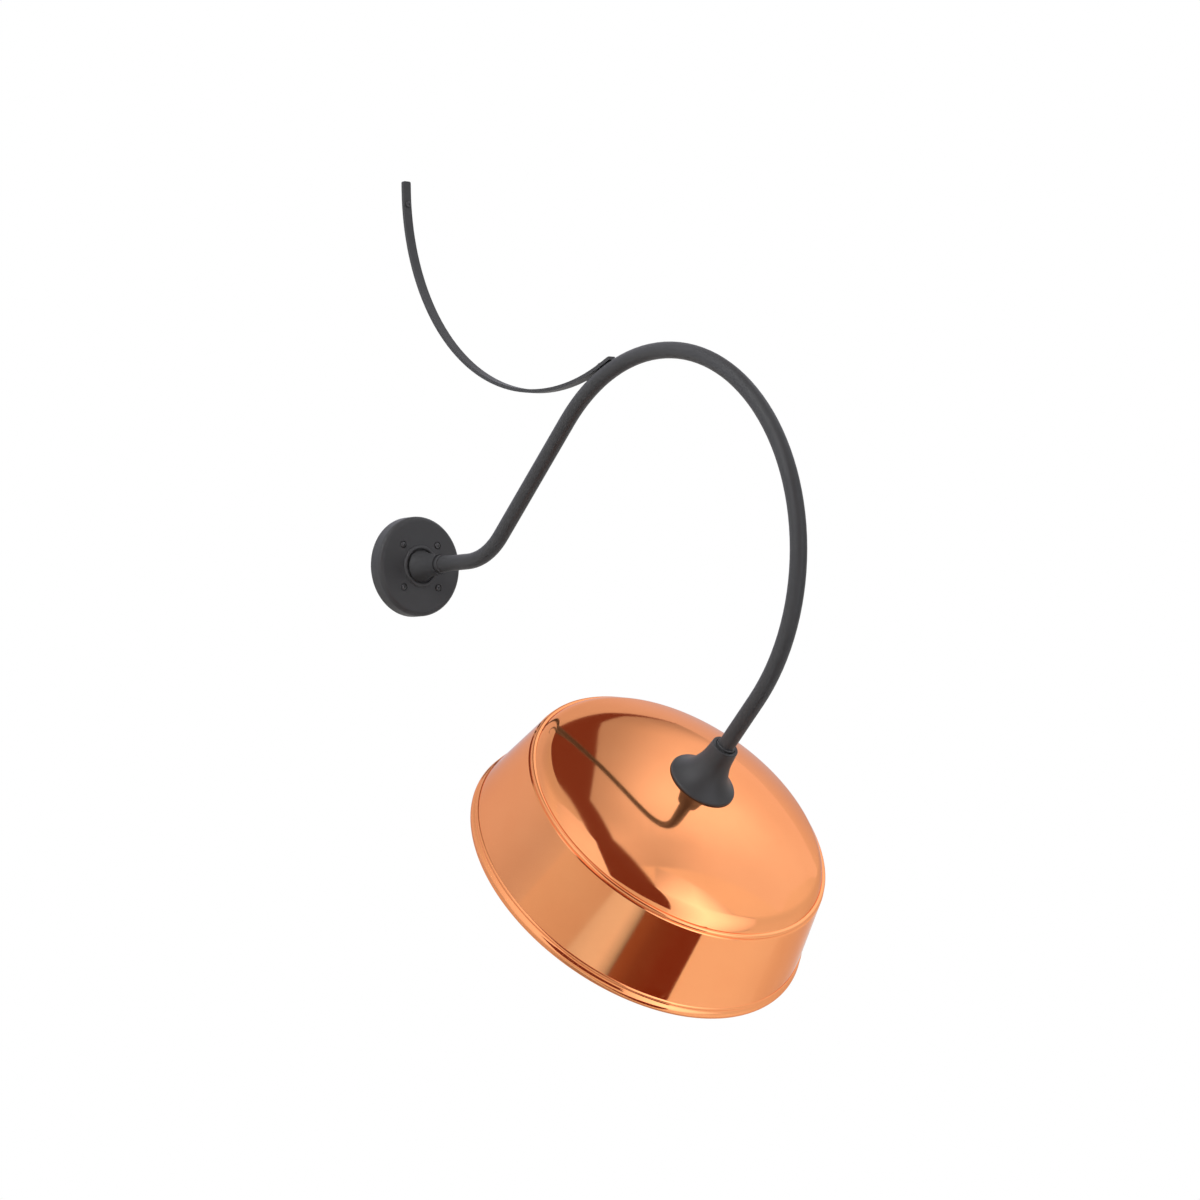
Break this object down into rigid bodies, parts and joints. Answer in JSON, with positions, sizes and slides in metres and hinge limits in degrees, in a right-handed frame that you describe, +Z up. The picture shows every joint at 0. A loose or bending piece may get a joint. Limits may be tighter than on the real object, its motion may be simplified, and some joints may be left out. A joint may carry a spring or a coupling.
{
  "type": "gooseneck wall sconce",
  "caption": "Wall lamp: a bent gooseneck pipe from a round screwed flange carries a wide spun copper shade on a bell-shaped neck, braced by a curved flat strap.",
  "frame": {"origin": "centre of the flange's back face, on the wall", "axes": "+Y into the wall, +Z up, +X to the right as seen by someone facing the wall"},
  "size_m": [0.4704, 0.8263, 1.1296],
  "materials": {
    "black_coat": "satin black powder coat",
    "black_screws": "blackened steel",
    "copper": "polished, lacquered copper",
    "rubber": "moulded",
    "zinc_steel": "zinc plated",
    "spring_steel": "spring wire",
    "porcelain": "white glazed porcelain",
    "brass": "pressed brass",
    "lead_black": "extruded",
    "lead_white": "extruded",
    "lead_green": "extruded",
    "green_screw": "green plated"
  },
  "bodies": {
    "lamp": {"wall_flange": "black_coat", "flange_gasket": "rubber", "flange_screws": "black_screws", "hub_seal_ring": "rubber", "hub_set_screw": "zinc_steel", "gooseneck_arm": "black_coat", "support_strap": "black_coat", "strap_wall_screw": "black_screws", "strap_bolt": "black_screws", "strap_insert": "zinc_steel", "neck_casting": "black_coat", "neck_seal_ring": "rubber", "neck_set_screw": "zinc_steel", "shade_gasket": "rubber", "shade": "copper", "lamp_plate": "zinc_steel", "plate_screws": "zinc_steel", "lampholder_body": "porcelain", "lampholder_screws": "zinc_steel", "screw_shell": "brass", "shell_rivets": "brass", "contact_guide": "brass", "contact_spring": "spring_steel", "lead_live": "lead_black", "lead_neutral": "lead_white", "lead_earth": "lead_green", "earth_screw": "green_screw"},
    "contact": {"contact_button": "brass"}
  },
  "joints": [
    {"name": "contact_press", "type": "slide", "parent": "lamp", "child": "contact", "axis": [0, -0.7314, 0.682], "range_m": [0, 0.0015], "stiffness_N_per_m": 1500, "springref_m": -0.0005, "deforming": ["contact_spring"]}
  ]
}
